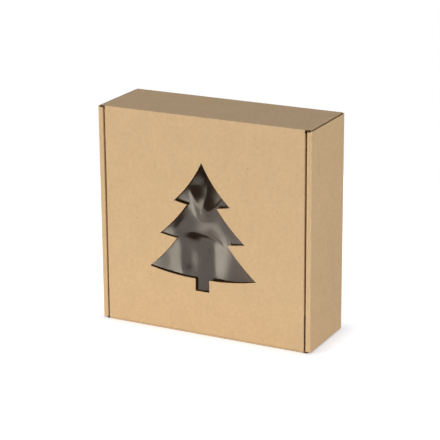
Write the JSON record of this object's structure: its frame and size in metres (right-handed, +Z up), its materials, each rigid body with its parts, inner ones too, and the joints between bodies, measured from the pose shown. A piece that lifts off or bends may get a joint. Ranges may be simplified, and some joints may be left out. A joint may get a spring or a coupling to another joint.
{
  "type": "window gift box",
  "caption": "Kraft corrugated gift box with rolled-over side walls, a hinged tuck lid and a tree-shaped window with clear film.",
  "frame": {"origin": "middle of the foot of the standing box", "axes": "+Z up from the front wall to the hinge wall, -Y out through the lid, +X to the right as seen from the lid"},
  "size_m": [0.314, 0.104, 0.304],
  "materials": {
    "kraft_board": "matte",
    "clear_film": "gloss",
    "clear_glue": "satin"
  },
  "bodies": {
    "tray": {"base_panel": "kraft_board", "hinge_wall": "kraft_board", "front_wall": "kraft_board", "left_outer_wall": "kraft_board", "right_outer_wall": "kraft_board", "left_ridge": "kraft_board", "right_ridge": "kraft_board", "left_inner_wall": "kraft_board", "right_inner_wall": "kraft_board", "hinge_left_corner_flap": "kraft_board", "hinge_right_corner_flap": "kraft_board", "front_left_corner_flap": "kraft_board", "front_right_corner_flap": "kraft_board"},
    "lid": {"lid_panel": "kraft_board", "window_film": "clear_film", "film_adhesive": "clear_glue"},
    "tuck": {"tuck_flap": "kraft_board"},
    "left_ear": {"left_tuck_ear": "kraft_board"},
    "right_ear": {"right_tuck_ear": "kraft_board"},
    "left_dust": {"left_dust_flap": "kraft_board"},
    "right_dust": {"right_dust_flap": "kraft_board"}
  },
  "joints": [
    {"name": "lid_hinge", "type": "hinge", "parent": "tray", "child": "lid", "pos_m": [0, -0.0512, 0.3032], "axis": [-1, 0, 0], "range_deg": [0, 175]},
    {"name": "tuck_fold", "type": "hinge", "parent": "lid", "child": "tuck", "pos_m": [0, -0.0512, 0.0027], "axis": [-1, 0, 0], "range_deg": [0, 87.6]},
    {"name": "left_ear_fold", "type": "hinge", "parent": "tuck", "child": "left_ear", "pos_m": [-0.1455, -0.0512, 0.0027], "axis": [0, -0.9863, -0.165], "range_deg": [0, 87.6]},
    {"name": "right_ear_fold", "type": "hinge", "parent": "tuck", "child": "right_ear", "pos_m": [0.1455, -0.0512, 0.0027], "axis": [0, 0.9863, 0.165], "range_deg": [0, 87.6]},
    {"name": "left_dust_fold", "type": "hinge", "parent": "lid", "child": "left_dust", "pos_m": [-0.1465, -0.0512, 0.15], "axis": [0, 0, 1], "range_deg": [0, 58.5]},
    {"name": "right_dust_fold", "type": "hinge", "parent": "lid", "child": "right_dust", "pos_m": [0.1465, -0.0512, 0.15], "axis": [0, 0, -1], "range_deg": [0, 58.5]}
  ],
  "couplings": [
    {"joint": "tuck_fold", "follows": "lid_hinge", "ratio": 0.5},
    {"joint": "left_ear_fold", "follows": "lid_hinge", "ratio": 0.5},
    {"joint": "right_ear_fold", "follows": "lid_hinge", "ratio": 0.5},
    {"joint": "left_dust_fold", "follows": "lid_hinge", "ratio": 0.33333},
    {"joint": "right_dust_fold", "follows": "lid_hinge", "ratio": 0.33333}
  ]
}
